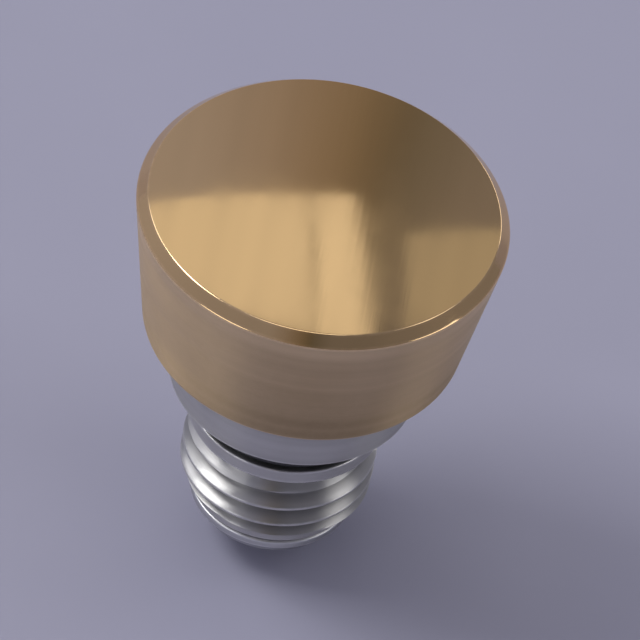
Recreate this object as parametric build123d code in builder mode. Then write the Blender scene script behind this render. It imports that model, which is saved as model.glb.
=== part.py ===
# A chronograph pusher: the spring-loaded button that starts, stops or resets a watch's chronograph.
# A gold-coloured head with a skirt slides over the collar of a steel tube. The tube is screwed into
# the side of the watch case. A stem runs from the head through the gaskets in the tube, and its tip
# pushes the chronograph lever. A clip on the stem stops the spring from throwing the head out.
#
# Frame: the Z axis is the stem's axis, and +Z points out of the watch, to the head. The origin is on
# that axis in the plane where the collar seats on the case. Lengths are in millimetres, and angles
# are in degrees. Radii grow from the stem outwards, so each layer is placed by the one inside it.

import os

from build123d import *

# Movement
travel = 0.90
foot_clearance = 0.15
stop_clearance = 0.03

# Clearances between neighbours
seal_gap = 0.01
stack_gap = 0.01
fit_gap = 0.005
spin_gap = 0.03
sliding_gap = 0.05
bush_gap = 0.015
skirt_clearance = 0.07
edge_break = 0.03
cut_overrun = 0.5

# Head cap
head_diameter = 5.60
head_height = 2.60
dome_rise = 0.28
rim_bevel = 0.16
rim_softening = 0.03
foot_wall = 0.295
foot_round = 0.20
cap_roof = 0.45

# Head core
core_wall = 0.15
core_disc = 0.45
core_foot_recess = 0.06
boss_wall = 0.30
boss_length = 0.60

# Stem
stem_diameter = 1.10
stem_thread_diameter = 1.20
stem_thread_pitch = 0.25
stem_thread_depth = 0.12
stem_thread_length = 0.60
stem_neck_length = 0.12
stem_nose_length = 0.08
thread_hole_spare = 0.08
shoulder_step = 0.20
shoulder_length = 0.16
shoulder_flat_depth = 0.13
stem_tip_length = 0.50
stem_tip_chamfer = 0.12

# Retaining clip and stop washer
clip_thickness = 0.18
clip_side_gap = 0.01
clip_groove_depth = 0.15
clip_inset = 0.15
clip_band = 0.26
clip_prong_count = 3
clip_prong_width = 0.36
clip_prong_angle = 112
clip_mouth_width = 0.90
washer_thickness = 0.15
washer_inset = 0.02

# Stem gaskets, their spacer and the bush under them
stem_gasket_section = 0.38
spacer_length = 0.35
bush_chamfer = 0.08

# Tube below the collar
tube_wall = 0.22
case_gasket_section = 0.31
case_groove_top_land = 0.22
case_groove_side_gap = 0.02
pilot_bottom_land = 0.26
relief_length = 0.20
tube_thread_pitch = 0.35
tube_thread_depth = 0.19
tube_thread_length = 1.20
tube_nose_length = 0.18
tube_nose_chamfer = 0.06
tube_lip = 0.35
thread_radius_gap = 0.02
thread_root_gap = 0.02

# Collar, spring chamber and tool splines
chamber_floor = 0.30
spline_count = 6
spline_width = 0.42
spline_depth = 0.12
spline_length = 0.55
collar_wall = 0.17
skirt_gasket_section = 0.30
skirt_groove_top_land = 0.14
skirt_groove_side_gap = 0.02
collar_chamfer = 0.08

# Spring, its cap and the ring that it stands on
retainer_thickness = 0.20
spring_wire = 0.20
spring_turns = 3.5
spring_inner_gap = 0.03
spring_outer_gap = 0.10
spring_cap_thickness = 0.12
spring_cap_hub_wall = 0.08
spring_cap_hub_length = 0.30

# Radii of the tube's inside, from the stem outwards
stem_radius = stem_diameter / 2
clip_groove_radius = stem_radius - clip_groove_depth
shoulder_radius = stem_radius + shoulder_step
loose_bore_radius = stem_radius + sliding_gap
gland_radius = stem_radius + stem_gasket_section + 2 * seal_gap
stack_radius = gland_radius - seal_gap

# Radii of the tube's outside below the collar
case_groove_radius = gland_radius + tube_wall
pilot_radius = case_groove_radius + case_gasket_section + 2 * seal_gap
tube_thread_radius = pilot_radius - thread_radius_gap
relief_radius = tube_thread_radius - tube_thread_depth - thread_root_gap
washer_outer_radius = relief_radius - washer_inset
clip_outer_radius = washer_outer_radius - clip_inset

# Radii of the spring chamber, from the boss outwards
stem_thread_radius = stem_thread_diameter / 2
stem_neck_radius = stem_thread_radius - stem_thread_depth - thread_root_gap
thread_hole_radius = stem_thread_radius + seal_gap
boss_radius = thread_hole_radius + boss_wall
hub_inner_radius = boss_radius + spin_gap
hub_outer_radius = hub_inner_radius + spring_cap_hub_wall
spring_inner_radius = hub_outer_radius + spring_inner_gap
spring_outer_radius = spring_inner_radius + spring_wire
chamber_radius = spring_outer_radius + spring_outer_gap

# Radii of the collar and the head around it
skirt_groove_radius = chamber_radius + spline_depth + collar_wall
skirt_bore_radius = skirt_groove_radius + skirt_gasket_section + 2 * seal_gap
collar_radius = skirt_bore_radius - skirt_clearance
core_radius = skirt_bore_radius + core_wall
cap_bore_radius = core_radius + fit_gap
foot_radius = cap_bore_radius + foot_wall
head_radius = head_diameter / 2

# Heights of the head at rest
foot_z = travel + foot_clearance
rim_z = foot_z + head_height
dome_z = rim_z + dome_rise
core_top_z = rim_z - cap_roof
core_under_z = core_top_z - core_disc
core_foot_z = foot_z + core_foot_recess
boss_low_z = core_under_z - boss_length
shoulder_top_z = boss_low_z - stack_gap
shoulder_low_z = shoulder_top_z - shoulder_length
stem_thread_low_z = shoulder_top_z + stem_neck_length
stem_thread_high_z = stem_thread_low_z + stem_thread_length
stem_top_z = stem_thread_high_z + stem_nose_length
thread_hole_top_z = stem_top_z + thread_hole_spare

# Heights of the collar
collar_top_z = core_under_z - travel - stop_clearance
skirt_groove_width = skirt_gasket_section + 2 * skirt_groove_side_gap
skirt_groove_low_z = collar_top_z - skirt_groove_top_land - skirt_groove_width

# Heights of the tube's outside below the collar
case_groove_width = case_gasket_section + 2 * case_groove_side_gap
case_groove_low_z = -case_groove_top_land - case_groove_width
pilot_low_z = case_groove_low_z - pilot_bottom_land
tube_thread_high_z = pilot_low_z - relief_length
tube_thread_low_z = tube_thread_high_z - tube_thread_length
tube_end_z = tube_thread_low_z - tube_nose_length

# Heights of the stack inside the tube, from the chamber floor downwards
upper_gasket_z = chamber_floor - stack_gap - stem_gasket_section / 2
spacer_low_z = upper_gasket_z - stem_gasket_section / 2 - stack_gap - spacer_length
lower_gasket_z = spacer_low_z - stack_gap - stem_gasket_section / 2
bush_top_z = lower_gasket_z - stem_gasket_section / 2 - stack_gap
lip_top_z = tube_end_z + tube_lip
bush_low_z = lip_top_z + stack_gap

# Heights of the stem's inner end
washer_top_z = tube_end_z - stack_gap
washer_low_z = washer_top_z - washer_thickness
clip_groove_top_z = washer_low_z - stack_gap
clip_top_z = clip_groove_top_z - clip_side_gap
clip_low_z = clip_top_z - clip_thickness
clip_groove_low_z = clip_low_z - clip_side_gap
stem_end_z = clip_groove_low_z - stem_tip_length

# Heights in the spring chamber
retainer_top_z = chamber_floor + retainer_thickness
spring_cap_top_z = core_under_z - stack_gap
spring_top_z = spring_cap_top_z - spring_cap_thickness
spring_length = spring_top_z - retainer_top_z
spring_pitch = spring_length / spring_turns


def write(piece, name):
    """Labels a finished piece and writes it."""
    piece.part.label = name
    export_step(piece.part, f"parts/{name}.step")


def add_rods(steps, mode=Mode.ADD):
    """Adds or cuts round steps on the axis. Each one is a radius, a low end and a high end."""
    with BuildSketch(Plane.XZ, mode=Mode.PRIVATE) as outline:
        for radius, low, high in steps:
            with Locations((0, low)):
                Rectangle(radius, high - low, align=(Align.MIN, Align.MIN))
    revolve(outline.sketch, axis=Axis.Z, mode=mode)


def add_thread(radius, depth, pitch, low, high):
    """Adds a round thread to the open part: a disc off the axis climbs one pitch in each turn."""
    with BuildLine(mode=Mode.PRIVATE) as climb:
        Helix(pitch, high - low, depth / 2, center=(0, 0, low))
    with BuildSketch(Plane.XY.offset(low), mode=Mode.PRIVATE) as disc:
        with Locations((depth / 2, 0)):
            Circle(radius - depth / 2)
    sweep(sections=disc.sketch, path=climb.line, normal=(0, 0, 1))


def write_ring(name, inner, outer, low, thickness):
    """A flat ring on the axis with its edges broken."""
    with BuildPart() as ring:
        with BuildSketch(Plane.XY.offset(low)):
            Circle(outer)
            Circle(inner, mode=Mode.SUBTRACT)
        extrude(amount=thickness)
        chamfer(ring.edges(), edge_break)
    write(ring, name)


def write_gasket(name, inner, section, middle):
    """A round rubber ring on the axis."""
    with BuildPart() as gasket:
        with BuildSketch(Plane.XZ):
            with Locations((inner + section / 2, middle)):
                Circle(section / 2)
        revolve(axis=Axis.Z)
    write(gasket, name)


def write_head_cap():
    """The gold-coloured shell: a shallow dome, a bevelled rim and a skirt that narrows to its foot."""
    dome_edge = head_radius - rim_bevel
    dome_radius = (dome_edge**2 + dome_rise**2) / (2 * dome_rise)
    with BuildPart() as head_cap:
        with BuildSketch(Plane.XZ):
            with BuildLine():
                RadiusArc((0, dome_z), (dome_edge, rim_z), dome_radius)
                Polyline(
                    (dome_edge, rim_z),
                    (head_radius, rim_z - rim_bevel),
                    (foot_radius, foot_z),
                    (cap_bore_radius, foot_z),
                    (cap_bore_radius, core_top_z + fit_gap),
                    (0, core_top_z + fit_gap),
                    (0, dome_z),
                )
            make_face()
        revolve(axis=Axis.Z)
        foot_edges = head_cap.edges().filter_by(GeomType.CIRCLE).group_by(Axis.Z)[0].sort_by(SortBy.RADIUS)
        fillet(foot_edges[-1], foot_round)
        chamfer(foot_edges[0], edge_break)
        rim_edges = head_cap.edges().filter_by(GeomType.CIRCLE).filter_by_position(
            Axis.Z, rim_z - rim_bevel - edge_break, rim_z + edge_break
        )
        fillet(rim_edges, rim_softening)
    write(head_cap, "head_cap")


def write_head_core():
    """The steel cup inside the cap. Its sleeve slides on the collar, and its boss takes the stem."""
    with BuildPart() as head_core:
        with BuildSketch(Plane.XZ):
            with BuildLine():
                Polyline(
                    (0, core_top_z),
                    (core_radius, core_top_z),
                    (core_radius, core_foot_z),
                    (skirt_bore_radius, core_foot_z),
                    (skirt_bore_radius, core_under_z),
                    (boss_radius, core_under_z),
                    (boss_radius, boss_low_z),
                    (thread_hole_radius, boss_low_z),
                    (thread_hole_radius, thread_hole_top_z),
                    (0, thread_hole_top_z),
                    close=True,
                )
            make_face()
        revolve(axis=Axis.Z)
        sleeve_mouth = head_core.edges().group_by(Axis.Z)[0]
        boss_edges = head_core.edges().filter_by_position(
            Axis.Z, boss_low_z - edge_break, boss_low_z + edge_break
        )
        chamfer(sleeve_mouth + boss_edges, edge_break)
    write(head_core, "head_core")


def write_stem():
    """The polished rod: a threaded end, a shoulder with two flats, and a groove for the clip."""
    with BuildPart() as stem:
        add_rods(
            (
                (stem_radius, stem_end_z, clip_groove_low_z),
                (clip_groove_radius, clip_groove_low_z, clip_groove_top_z),
                (stem_radius, clip_groove_top_z, shoulder_low_z),
                (shoulder_radius, shoulder_low_z, shoulder_top_z),
                (stem_neck_radius, shoulder_top_z, stem_thread_low_z),
                (stem_neck_radius, stem_thread_high_z, stem_top_z),
            )
        )
        chamfer(stem.edges().group_by(Axis.Z)[0], stem_tip_chamfer)
        chamfer(stem.edges().group_by(Axis.Z)[-1], edge_break)
        add_thread(
            stem_thread_radius, stem_thread_depth, stem_thread_pitch, stem_thread_low_z, stem_thread_high_z
        )
        with BuildSketch(Plane.XY.offset(shoulder_low_z)):
            Circle(shoulder_radius + cut_overrun)
            Rectangle(
                2 * (shoulder_radius + cut_overrun),
                2 * (shoulder_radius - shoulder_flat_depth),
                mode=Mode.SUBTRACT,
            )
        extrude(amount=shoulder_length, mode=Mode.SUBTRACT)
    write(stem, "stem")


def write_retaining_clip():
    """The open clip: a band with three prongs that reach the bottom of the stem's groove."""
    inner = clip_outer_radius - clip_band
    outwards = (Align.MIN, Align.CENTER)
    first_angle = 180 - clip_prong_angle
    with BuildPart() as clip:
        with BuildSketch(Plane.XY.offset(clip_low_z)):
            Circle(clip_outer_radius)
            Circle(inner, mode=Mode.SUBTRACT)
            Rectangle(clip_outer_radius, clip_mouth_width, align=outwards, mode=Mode.SUBTRACT)
            with PolarLocations(0, clip_prong_count, first_angle, 2 * clip_prong_angle, endpoint=True):
                Rectangle(inner + clip_band / 2, clip_prong_width, align=outwards)
            Circle(clip_groove_radius + seal_gap, mode=Mode.SUBTRACT)
        extrude(amount=clip_thickness)
    write(clip, "retaining_clip")


def write_guide_tube():
    """The threaded steel tube: collar, pilot, thread, spring chamber and gasket bore in one piece."""
    with BuildPart() as tube:
        add_rods(
            (
                (relief_radius, tube_end_z, tube_thread_low_z),
                (relief_radius, tube_thread_high_z, pilot_low_z),
                (pilot_radius, pilot_low_z, 0),
                (collar_radius, 0, collar_top_z),
            )
        )
        chamfer(tube.edges().group_by(Axis.Z)[0], tube_nose_chamfer)
        chamfer(tube.edges().group_by(Axis.Z)[-1], collar_chamfer)
        add_thread(
            tube_thread_radius, tube_thread_depth, tube_thread_pitch, tube_thread_low_z, tube_thread_high_z
        )
        add_rods(
            (
                (loose_bore_radius, tube_end_z - cut_overrun, lip_top_z),
                (gland_radius, lip_top_z, chamber_floor),
                (chamber_radius, chamber_floor, collar_top_z + cut_overrun),
            ),
            mode=Mode.SUBTRACT,
        )
        grooves = (
            (skirt_groove_radius, collar_radius, skirt_groove_low_z, skirt_groove_width),
            (case_groove_radius, pilot_radius, case_groove_low_z, case_groove_width),
        )
        for floor, outside, low, width in grooves:
            with BuildSketch(Plane.XZ):
                with Locations((floor, low)):
                    Rectangle(outside - floor + cut_overrun, width, align=(Align.MIN, Align.MIN))
            revolve(axis=Axis.Z, mode=Mode.SUBTRACT)
        with BuildSketch(Plane.XY.offset(collar_top_z)):
            with PolarLocations(0, spline_count):
                Rectangle(chamber_radius + spline_depth, spline_width, align=(Align.MIN, Align.CENTER))
        extrude(amount=-spline_length, mode=Mode.SUBTRACT)
    write(tube, "guide_tube")


def least_gap(path, turns, wire):
    """The least gap between a coil's wire and itself, measured from point to point along its path."""
    points_per_turn = 24
    count = round(points_per_turn * turns)
    points = [path @ (i / count) for i in range(count + 1)]
    half_turn = points_per_turn // 2
    pairs = [(p, q) for i, p in enumerate(points) for q in points[i + half_turn :]]
    return min((q - p).length for p, q in pairs) - wire


def write_return_spring():
    """The coil spring, with both ends ground flat where they meet the ring and the cap."""
    middle_radius = spring_inner_radius + spring_wire / 2
    with BuildPart() as spring:
        with BuildLine() as path:
            Helix(spring_pitch, spring_length, middle_radius, center=(0, 0, retainer_top_z))
        with BuildSketch(Plane(path.line @ 0, z_dir=path.line % 0)):
            Circle(spring_wire / 2)
        sweep(path=path.line, is_frenet=True)
        with BuildSketch(Plane.XY.offset(retainer_top_z + stack_gap)):
            Circle(spring_outer_radius + cut_overrun)
        extrude(amount=spring_length - 2 * stack_gap, mode=Mode.INTERSECT)
    write(spring, "return_spring")
    print(f"spring: least gap to itself at rest {least_gap(path.line, spring_turns, spring_wire):.3f}")


def write_spring_cap():
    """The hat-shaped washer between the spring and the head. The head can turn on it."""
    with BuildPart() as spring_cap:
        with BuildSketch(Plane.XY.offset(spring_cap_top_z)):
            Circle(spring_outer_radius)
        extrude(amount=-spring_cap_thickness)
        with BuildSketch(Plane.XY.offset(spring_cap_top_z)):
            Circle(hub_outer_radius)
        extrude(amount=-spring_cap_hub_length)
        with BuildSketch(Plane.XY.offset(spring_cap_top_z)):
            Circle(hub_inner_radius)
        extrude(amount=-spring_cap_hub_length, mode=Mode.SUBTRACT)
    write(spring_cap, "spring_cap")


def write_guide_bush():
    """The bronze bush that guides the stem at the tube's inner end."""
    with BuildPart() as bush:
        with BuildSketch(Plane.XY.offset(bush_low_z)):
            Circle(stack_radius)
            Circle(stem_radius + bush_gap, mode=Mode.SUBTRACT)
        extrude(amount=bush_top_z - bush_low_z)
        chamfer(bush.edges().filter_by(GeomType.CIRCLE).sort_by(SortBy.RADIUS)[-2:], bush_chamfer)
    write(bush, "guide_bush")


os.makedirs("parts", exist_ok=True)
write_head_cap()
write_head_core()
write_stem()
write_retaining_clip()
write_guide_tube()
write_return_spring()
write_spring_cap()
write_guide_bush()
write_ring("stop_washer", loose_bore_radius, washer_outer_radius, washer_low_z, washer_thickness)
write_ring("gasket_spacer", loose_bore_radius, stack_radius, spacer_low_z, spacer_length)
write_ring(
    "gasket_retainer", loose_bore_radius, chamber_radius - fit_gap, chamber_floor, retainer_thickness
)
write_gasket("stem_gasket_upper", stem_radius + seal_gap, stem_gasket_section, upper_gasket_z)
write_gasket("stem_gasket_lower", stem_radius + seal_gap, stem_gasket_section, lower_gasket_z)
write_gasket(
    "skirt_gasket",
    skirt_groove_radius + seal_gap,
    skirt_gasket_section,
    skirt_groove_low_z + skirt_groove_width / 2,
)
write_gasket(
    "case_gasket",
    case_groove_radius + seal_gap,
    case_gasket_section,
    case_groove_low_z + case_groove_width / 2,
)
print(f"spring: {(spring_length - travel) / spring_turns - spring_wire:.3f} between turns when pressed")
print(f"overall: {stem_end_z:.2f} to {dome_z:.2f}, thread diameter {2 * tube_thread_radius:.2f}")
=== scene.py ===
# %% [markdown]
# # A chronograph pusher, dressed around its CAD frame
# A chronograph pusher is the small button in the side of a watch case that starts, stops or resets
# the chronograph. This one has a polished, gold-coloured head on a screwed steel tube. Inside are a
# stem, a coil spring, rubber gaskets and a clip. The CAD model gives the true sizes, but its round
# faces are coarse and bare. The lesson rebuilds each piece as a fine mesh in the same place, gives
# it the finish of the real part, and lights it like a small studio shot. The frame is loaded first,
# because every piece takes its place and its motion from it.

# %% Load the frame
import math

import bmesh
import bpy
from mathutils import Matrix, Quaternion, Vector


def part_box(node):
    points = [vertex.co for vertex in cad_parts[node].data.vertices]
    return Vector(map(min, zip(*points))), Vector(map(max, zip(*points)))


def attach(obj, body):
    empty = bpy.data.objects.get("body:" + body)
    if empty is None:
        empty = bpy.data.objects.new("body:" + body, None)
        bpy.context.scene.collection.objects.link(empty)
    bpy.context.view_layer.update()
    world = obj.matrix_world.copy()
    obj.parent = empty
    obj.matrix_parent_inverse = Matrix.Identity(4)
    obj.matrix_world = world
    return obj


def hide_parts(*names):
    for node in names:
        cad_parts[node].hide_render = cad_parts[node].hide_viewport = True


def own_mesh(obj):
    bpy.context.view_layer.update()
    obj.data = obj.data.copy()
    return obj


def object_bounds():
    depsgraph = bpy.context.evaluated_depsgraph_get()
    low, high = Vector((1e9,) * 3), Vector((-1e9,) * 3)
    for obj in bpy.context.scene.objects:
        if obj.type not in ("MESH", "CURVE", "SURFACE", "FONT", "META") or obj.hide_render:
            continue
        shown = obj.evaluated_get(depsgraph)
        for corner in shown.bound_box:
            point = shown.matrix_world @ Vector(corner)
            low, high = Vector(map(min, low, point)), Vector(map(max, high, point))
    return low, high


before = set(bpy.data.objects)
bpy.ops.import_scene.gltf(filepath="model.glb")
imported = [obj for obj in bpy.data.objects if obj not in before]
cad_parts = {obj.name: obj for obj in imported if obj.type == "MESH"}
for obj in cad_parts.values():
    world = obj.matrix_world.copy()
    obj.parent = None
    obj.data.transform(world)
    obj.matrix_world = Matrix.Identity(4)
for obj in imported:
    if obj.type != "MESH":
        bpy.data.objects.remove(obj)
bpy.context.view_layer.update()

MM = 0.001
FULL_TURN = 2 * math.pi

# %% [markdown]
# ## Building shaders in code
# A finish is a small network of nodes. Nodes can be added one by one with four or five lines each,
# but then the network is hard to read. One helper keeps each node on a single line: its inputs take
# either a number or the output of another node, and the helper makes the link. Two more do sums.


# %% Helpers for nodes and sums
def add_node(tree, kind, inputs=None, **settings):
    """Adds a node, sets its properties, and fills or links its inputs."""
    node = tree.nodes.new(kind)
    for name, value in settings.items():
        setattr(node, name, value)
    for key, value in (inputs or {}).items():
        if isinstance(value, bpy.types.NodeSocket):
            tree.links.new(value, node.inputs[key])
        else:
            node.inputs[key].default_value = value
    return node


def calculate(tree, operation, first, second=0.0):
    """A maths node's result."""
    return add_node(tree, "ShaderNodeMath", {0: first, 1: second}, operation=operation).outputs[0]


def times(tree, first, second):
    """The product of two numbers."""
    return calculate(tree, "MULTIPLY", first, second)


print("Helpers for nodes and sums are ready")

# %% [markdown]
# Four more name the nodes that are used most. Noise has values from 0 to 1, but nearly all of them
# lie near the middle, so it is mostly spread out from the narrower range below.

# %% Helpers for noise and colours
NOISE_RANGE = (0.3, 0.7)


def add_noise(tree, place, scale, detail):
    """Noise with about this many bumps in a metre."""
    values = {"Vector": place, "Scale": scale, "Detail": detail}
    return add_node(tree, "ShaderNodeTexNoise", values).outputs[0]


def stretch(tree, place, factors):
    """A place with each of its coordinates times a factor of its own."""
    values = {0: place, 1: factors}
    return add_node(tree, "ShaderNodeVectorMath", values, operation="MULTIPLY").outputs[0]


def rescale(tree, value, low, high, new_low=0.0, new_high=1.0):
    """A value moved from one range to another and held inside it."""
    limits = {"From Min": low, "From Max": high, "To Min": new_low, "To Max": new_high}
    return add_node(tree, "ShaderNodeMapRange", {"Value": value, **limits}).outputs["Result"]


def blend_colours(tree, amount, first, second):
    """Goes from the first colour to the second as the amount goes from 0 to 1."""
    # A Mix node mixes numbers, vectors or colours. Its colours are inputs 6 and 7 and output 2.
    values = {0: amount, 6: first, 7: second}
    return add_node(tree, "ShaderNodeMix", values, data_type="RGBA").outputs[2]


print("Helpers for noise and colours are ready")

# %% [markdown]
# A new material and a new group each start with the same few lines, so they get helpers too. Marks
# are placed by a piece's own coordinates, so that they stay on the piece when it moves.


# %% New materials and groups
def new_material(name):
    """A new material, its tree and its shader's inputs."""
    material = bpy.data.materials.new(name)
    material.use_nodes = True
    tree = material.node_tree
    return material, tree, tree.nodes["Principled BSDF"].inputs


def own_place(tree):
    """The shaded point in its piece's own coordinates."""
    return add_node(tree, "ShaderNodeTexCoord").outputs["Object"]


def new_group(name, inputs, outputs):
    """An empty group. Inputs are names with their starting numbers, and Vector is always there."""
    group = bpy.data.node_groups.new(name, "ShaderNodeTree")
    group.interface.new_socket(name="Vector", in_out="INPUT", socket_type="NodeSocketVector")
    number = "NodeSocketFloat"
    for label, start in inputs.items():
        socket = group.interface.new_socket(name=label, in_out="INPUT", socket_type=number)
        socket.default_value = start
    for label in outputs:
        group.interface.new_socket(name=label, in_out="OUTPUT", socket_type=number)
    given = group.nodes.new("NodeGroupInput").outputs
    return group, given, group.nodes.new("NodeGroupOutput").inputs


def add_group(tree, group, place, values=None):
    """A node group in a tree, with its own values. It gives the group's outputs."""
    inputs = {"Vector": place, **(values or {})}
    return add_node(tree, "ShaderNodeGroup", inputs, node_tree=group).outputs


print("Helpers for materials and groups are ready")

# %% [markdown]
# ## Tool marks from the lathe
# A turned part carries fine rings round its axis, on its cylinders and on its flat faces alike. An
# image could show them on one face only. Here the point's distance from the axis and its height
# make one number, and its sine rises and falls once for each turn of the lathe's feed. The angle is
# left out, so that the marks are rings everywhere. Noise moves the rings a little and varies their
# depth, as a worn tool does, and a slower noise gives broad streaks. The effect is a group, because
# the tube, the core, the stem, the bush and the head's wall all use it.

# %% Turning marks
RADIUS_SHARE = 0.8
RING_WANDER = 5.0
RING_DEPTHS = (0.15, 0.5)
BROAD_RING_SHARE = 0.2


def make_turning_marks():
    group, given, made = new_group("turning_marks", {"Rings per mm": 15.0}, ("Height", "Streak"))
    parts = add_node(group, "ShaderNodeSeparateXYZ", {0: given["Vector"]}).outputs
    flat = add_node(group, "ShaderNodeCombineXYZ", {"X": parts["X"], "Y": parts["Y"]}).outputs[0]
    radius = add_node(group, "ShaderNodeVectorMath", {0: flat}, operation="LENGTH").outputs["Value"]
    place = add_node(group, "ShaderNodeCombineXYZ", {"X": radius, "Z": parts["Z"]}).outputs[0]
    feeds = times(group, given["Rings per mm"], 1 / MM)
    noise = add_noise(group, place, feeds, 2.0)
    along = calculate(group, "ADD", times(group, radius, RADIUS_SHARE), parts["Z"])
    turns = times(group, along, times(group, feeds, FULL_TURN))
    wander = times(group, noise, RING_WANDER)
    wave = calculate(group, "SINE", calculate(group, "ADD", turns, wander))
    depth = rescale(group, noise, *NOISE_RANGE, *RING_DEPTHS)
    group.links.new(times(group, wave, depth), made["Height"])
    broad = add_noise(group, place, times(group, feeds, BROAD_RING_SHARE), 2.0)
    group.links.new(rescale(group, broad, *NOISE_RANGE), made["Streak"])
    return group


TURNING_MARKS = make_turning_marks()
print("Group:", TURNING_MARKS.name)

# %% [markdown]
# ## A straight grain
# Polished plating is never perfect. The wheel leaves a faint straight grain, and drawn wire and
# stamped sheet have one too. Noise that is stretched sixty times along one direction gives such
# lines. The Y axis is the grain's direction, so it runs away from the viewer over the head's face.

# %% Straight grain
BROAD_LINE_SHARE = 0.11


def make_straight_grain():
    starts = {"Lines per mm": 12.0, "Stretch": 60.0}
    group, given, made = new_group("straight_grain", starts, ("Height", "Streak"))
    slow = calculate(group, "DIVIDE", 1.0, given["Stretch"])
    squeeze = add_node(group, "ShaderNodeCombineXYZ", {"X": 1.0, "Y": slow, "Z": slow}).outputs[0]
    long = stretch(group, given["Vector"], squeeze)
    scale = times(group, given["Lines per mm"], 1 / MM)
    group.links.new(add_noise(group, long, scale, 3.0), made["Height"])
    broad = add_noise(group, long, times(group, scale, BROAD_LINE_SHARE), 1.0)
    group.links.new(rescale(group, broad, *NOISE_RANGE), made["Streak"])
    return group


STRAIGHT_GRAIN = make_straight_grain()
print("Group:", STRAIGHT_GRAIN.name)

# %% [markdown]
# ## Marks of handling
# A watch part is held in tweezers and fingers. That leaves soft smudges, which change only the
# roughness, and a few hairline scratches. A scratch is the thin line where a stretched noise passes
# through one chosen value. Two turned copies of it give scratches that cross.

# %% Smudges and hairlines
SMUDGE_EDGES = (0.42, 0.68)
SCRATCH_ANGLES = (0.5, 2.1)
SCRATCH_SQUEEZE = (1.0, 0.05, 0.05)
SCRATCH_LEVEL, SCRATCH_WIDTH = 0.56, 0.006


def make_handling():
    starts = {"Smudges per mm": 0.6, "Scratches per mm": 3.0}
    group, given, made = new_group("handling", starts, ("Smudge", "Scratch"))
    place = given["Vector"]
    scale = times(group, given["Smudges per mm"], 1 / MM)
    soft = add_noise(group, place, scale, 4.0)
    group.links.new(rescale(group, soft, *SMUDGE_EDGES), made["Smudge"])
    scale = times(group, given["Scratches per mm"], 1 / MM)
    lines = []
    for angle in SCRATCH_ANGLES:
        values = {"Vector": place, "Angle": angle}
        turned = add_node(group, "ShaderNodeVectorRotate", values, rotation_type="Z_AXIS")
        long = stretch(group, turned.outputs[0], SCRATCH_SQUEEZE)
        away = calculate(group, "SUBTRACT", add_noise(group, long, scale, 1.0), SCRATCH_LEVEL)
        away = calculate(group, "ABSOLUTE", away)
        lines.append(rescale(group, away, 0.0, SCRATCH_WIDTH, 1.0, 0.0))
    group.links.new(calculate(group, "MAXIMUM", *lines), made["Scratch"])
    return group


HANDLING = make_handling()
print("Group:", HANDLING.name)

# %% [markdown]
# ## Worn edges and painted shade in corners
# Outer edges are rubbed bright by polishing. Inner corners keep a little dull polish, which
# makes them rougher, and they are darkened as painted shade. Cycles can find edges by itself, but
# only roughly on small parts. Here each piece's mesh stores a number called edge while it is built:
# 1 on a rounded outer edge, -1 in an inner corner and 0 on the faces. The group breaks it up with
# noise, so that the marks aren't a ruled line. Bright edges are broken up more than dull corners.

# %% Bright edges and painted shade in corners
BRIGHT_BREAKS = (0.3, 0.6, 0.35, 1.0)
DULL_BREAKS = (0.2, 0.8, 0.8, 1.0)


def make_edge_wear_and_shade():
    starts = {"Edge": 0.0, "Breaks per mm": 8.0}
    group, given, made = new_group("edge_wear_and_shade", starts, ("Bright", "Dull"))
    scale = times(group, given["Breaks per mm"], 1 / MM)
    noise = add_noise(group, given["Vector"], scale, 3.0)
    outer = calculate(group, "MAXIMUM", given["Edge"], 0.0)
    # Inner corners make the Dull mask, which the metals use for painted shade.
    inner = calculate(group, "MAXIMUM", times(group, given["Edge"], -1.0), 0.0)
    for mask, breaks, output in ((outer, BRIGHT_BREAKS, "Bright"), (inner, DULL_BREAKS, "Dull")):
        broken = times(group, mask, rescale(group, noise, *breaks))
        group.links.new(broken, made[output])
    return group


EDGE_WEAR_AND_SHADE = make_edge_wear_and_shade()
print("Group:", EDGE_WEAR_AND_SHADE.name)

# %% [markdown]
# ## One builder for all metals
# Every metal here has the same layers: its own colour, bright edges, dull corners darkened as
# painted shade, marks of its making and marks of handling. Only the amounts differ. So one
# function builds the material and takes the amounts, and each alloy is then a short list of
# values. Three helpers come first. One lays the colours over each other. One adds up masks, each
# with its own weight, which serves the roughness and the height alike. The last one brings the
# three results to the shader.

# %% Layers of a metal
BRIGHT_SHARE, BRIGHT_LIFT = 1.08, 0.03
# DULL_SHARE sets how dark the painted shade in dull corners is.
DULL_SHARE, DULLNESS, DULL_ROUGHNESS = 0.45, 0.8, 0.25
MICROMETRE = 0.001 * MM


def layer_colours(tree, colour, contrast, streak, bright, dull):
    """Streaks of a second shade, rubbed edges over them, and painted shade in dull corners on top.
    """
    shade = [contrast * part for part in colour]
    rubbed = [min(1.0, BRIGHT_SHARE * part + BRIGHT_LIFT) for part in colour]
    painted_shade_colour = [DULL_SHARE * part for part in colour]
    layered = blend_colours(tree, streak, (*colour, 1), (*shade, 1))
    layered = blend_colours(tree, bright, layered, (*rubbed, 1))
    return blend_colours(tree, dull, layered, (*painted_shade_colour, 1))


def add_up(tree, start, *layers):
    """A starting number plus some masks, each times its weight."""
    total = start
    for mask, weight in layers:
        total = calculate(tree, "ADD", times(tree, mask, weight), total)
    return total


def dress(tree, shader, colour, roughness, height):
    """Links a colour, a roughness and a height in micrometres to the shader."""
    tree.links.new(colour, shader["Base Color"])
    tree.links.new(roughness, shader["Roughness"])
    bump = add_node(tree, "ShaderNodeBump", {"Height": height, "Distance": MICROMETRE})
    tree.links.new(bump.outputs[0], shader["Normal"])


# The dull corner's darker colour is painted shade.
print(f"A dull corner reflects {DULL_SHARE} times as much as a clean face")

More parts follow.
